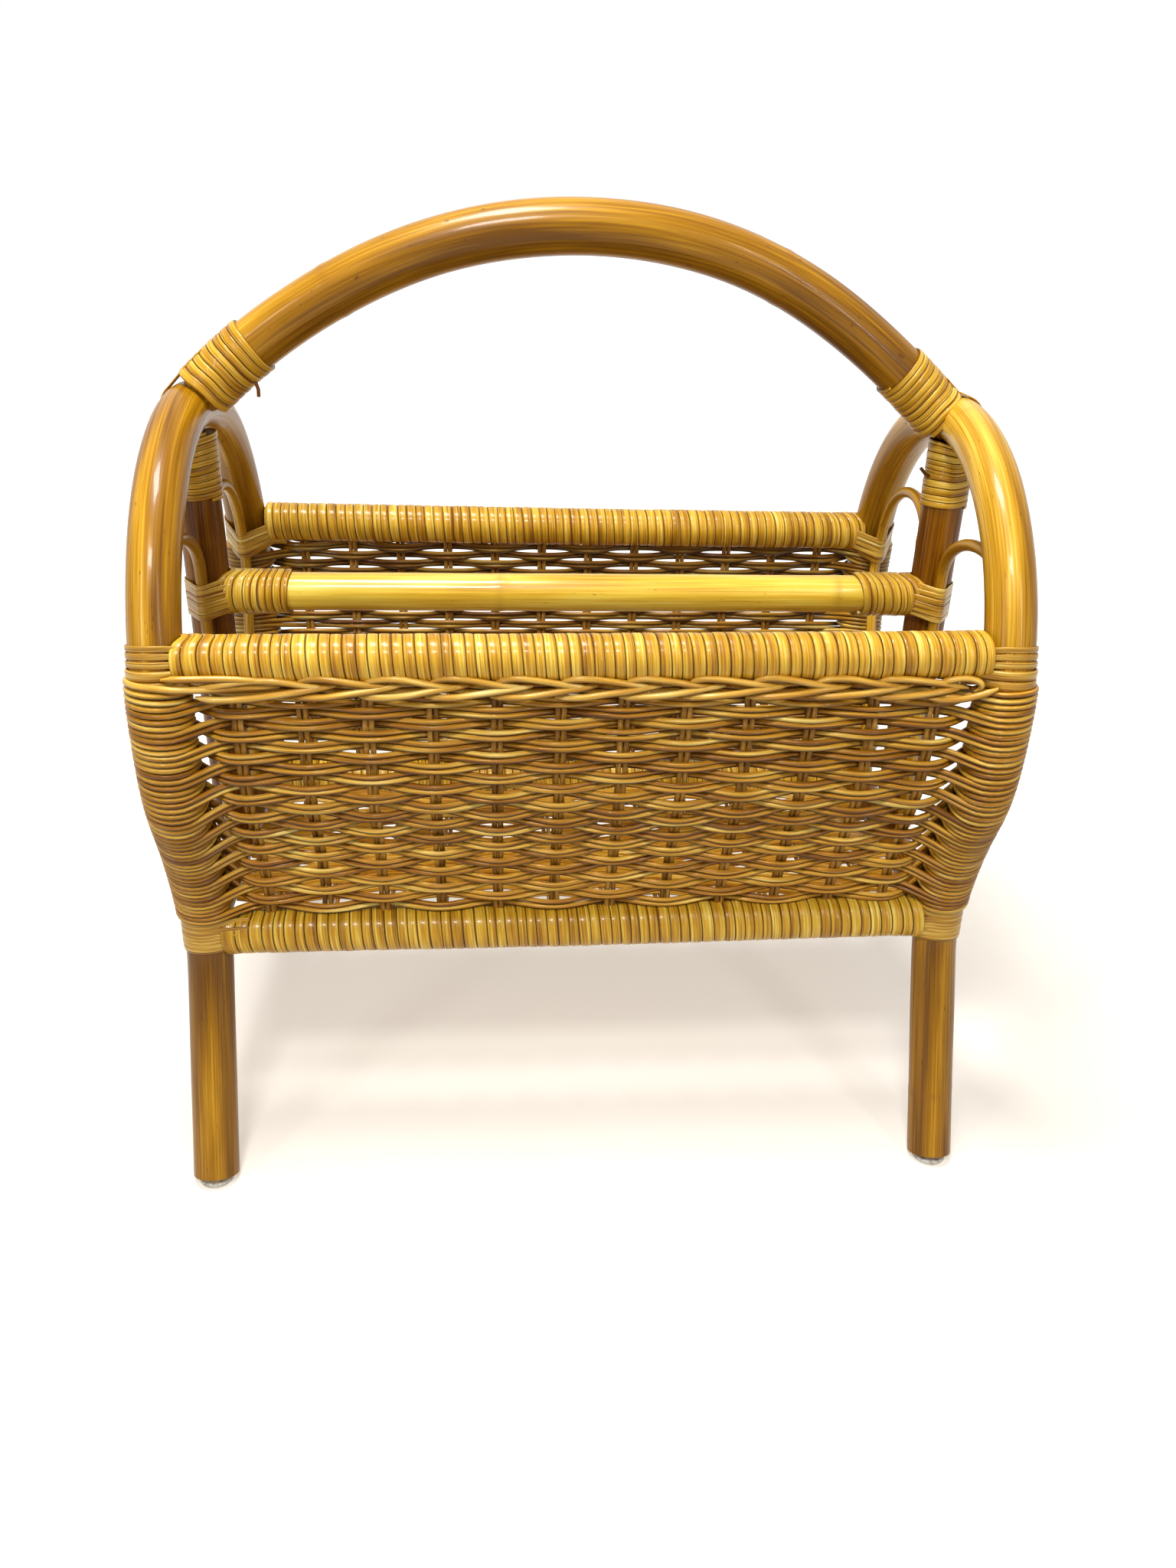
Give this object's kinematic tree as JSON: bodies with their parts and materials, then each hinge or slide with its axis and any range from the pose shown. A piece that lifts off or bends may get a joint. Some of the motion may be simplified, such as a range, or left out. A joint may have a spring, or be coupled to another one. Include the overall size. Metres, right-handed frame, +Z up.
{
  "type": "magazine basket",
  "caption": "Free-standing rattan magazine basket: bent end hoops on splayed feet, a bow handle, a centre rail between the pockets, and woven sides bound on with cane.",
  "frame": {"origin": "on the floor under the middle of the basket", "axes": "+X along the handle and the rails to the right end, +Y to the back, +Z up"},
  "size_m": [0.4414, 0.3082, 0.5],
  "materials": {
    "pole": "glossy varnish",
    "dark_pole": "glossy varnish",
    "cane": "satin varnish",
    "reed": "satin varnish",
    "nylon": "matte"
  },
  "bodies": {
    "root": {"left_hoop": "pole", "left_center_post": "dark_pole", "left_cross_bar": "dark_pole", "left_handle_binding": "cane", "left_post_binding": "cane", "left_center_rail_binding": "cane", "left_center_band": "cane", "right_hoop": "pole", "right_center_post": "dark_pole", "right_cross_bar": "dark_pole", "right_handle_binding": "cane", "right_post_binding": "cane", "right_center_rail_binding": "cane", "right_center_band": "cane", "left_front_rod_arch": "pole", "left_front_leg_wrap": "reed", "left_front_top_band": "cane", "left_front_bottom_band": "cane", "left_front_glide": "nylon", "left_rear_rod_arch": "pole", "left_rear_leg_wrap": "reed", "left_rear_top_band": "cane", "left_rear_bottom_band": "cane", "left_rear_glide": "nylon", "right_front_rod_arch": "pole", "right_front_leg_wrap": "reed", "right_front_top_band": "cane", "right_front_bottom_band": "cane", "right_front_glide": "nylon", "right_rear_rod_arch": "pole", "right_rear_leg_wrap": "reed", "right_rear_top_band": "cane", "right_rear_bottom_band": "cane", "right_rear_glide": "nylon", "front_panel": "reed", "front_border": "reed", "front_top_rail": "pole", "front_top_rail_wrap": "cane", "front_bottom_rail": "pole", "front_bottom_rail_wrap": "cane", "rear_panel": "reed", "rear_border": "reed", "rear_top_rail": "pole", "rear_top_rail_wrap": "cane", "rear_bottom_rail": "pole", "rear_bottom_rail_wrap": "cane", "handle_bow": "pole", "center_rail": "pole", "bottom_panel": "reed"}
  },
  "joints": []
}
